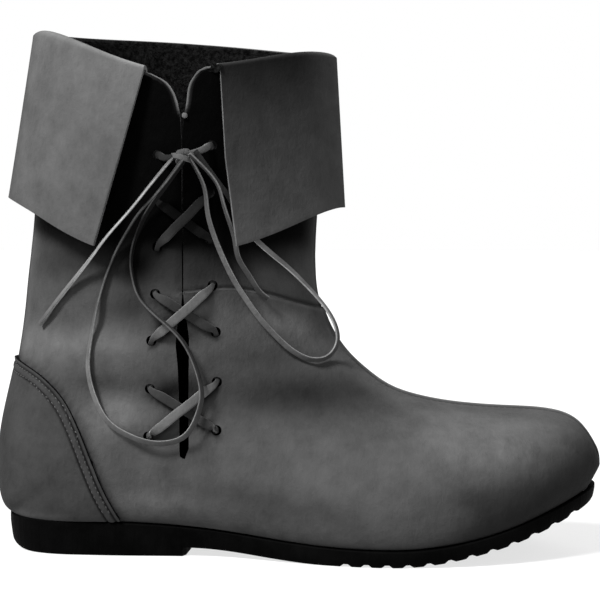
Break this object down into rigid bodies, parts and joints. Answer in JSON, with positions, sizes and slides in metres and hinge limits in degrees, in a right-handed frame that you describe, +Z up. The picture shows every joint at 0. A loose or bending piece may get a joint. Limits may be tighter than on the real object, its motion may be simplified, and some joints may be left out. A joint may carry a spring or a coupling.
{
  "type": "medieval boot",
  "caption": "Black leather ankle boot with a turned-down cuff, a side slit closed by a crossed leather thong tied in a bow, a stitched heel counter and a moulded rubber sole.",
  "frame": {"origin": "on the floor under the middle of the boot's length and width, laces left out", "axes": "+X from heel to toe, +Y from the laced outer side to the inner side, +Z up"},
  "size_m": [0.3032, 0.1115, 0.2594],
  "materials": {
    "black_leather": "matt nubuck",
    "thong_leather": "matt, cut edges",
    "insole_leather": "matt",
    "black_rubber": "matt moulded"
  },
  "bodies": {
    "root": {"outsole": "black_rubber", "insole": "insole_leather", "upper": "black_leather", "counter": "black_leather", "cuff": "black_leather", "lace_cross_1": "thong_leather", "lace_cross_2": "thong_leather", "lace_cross_3": "thong_leather", "lace_knot": "thong_leather", "lace_loop_back": "thong_leather", "lace_loop_front": "thong_leather", "lace_end_back": "thong_leather", "lace_end_front": "thong_leather"}
  },
  "joints": []
}
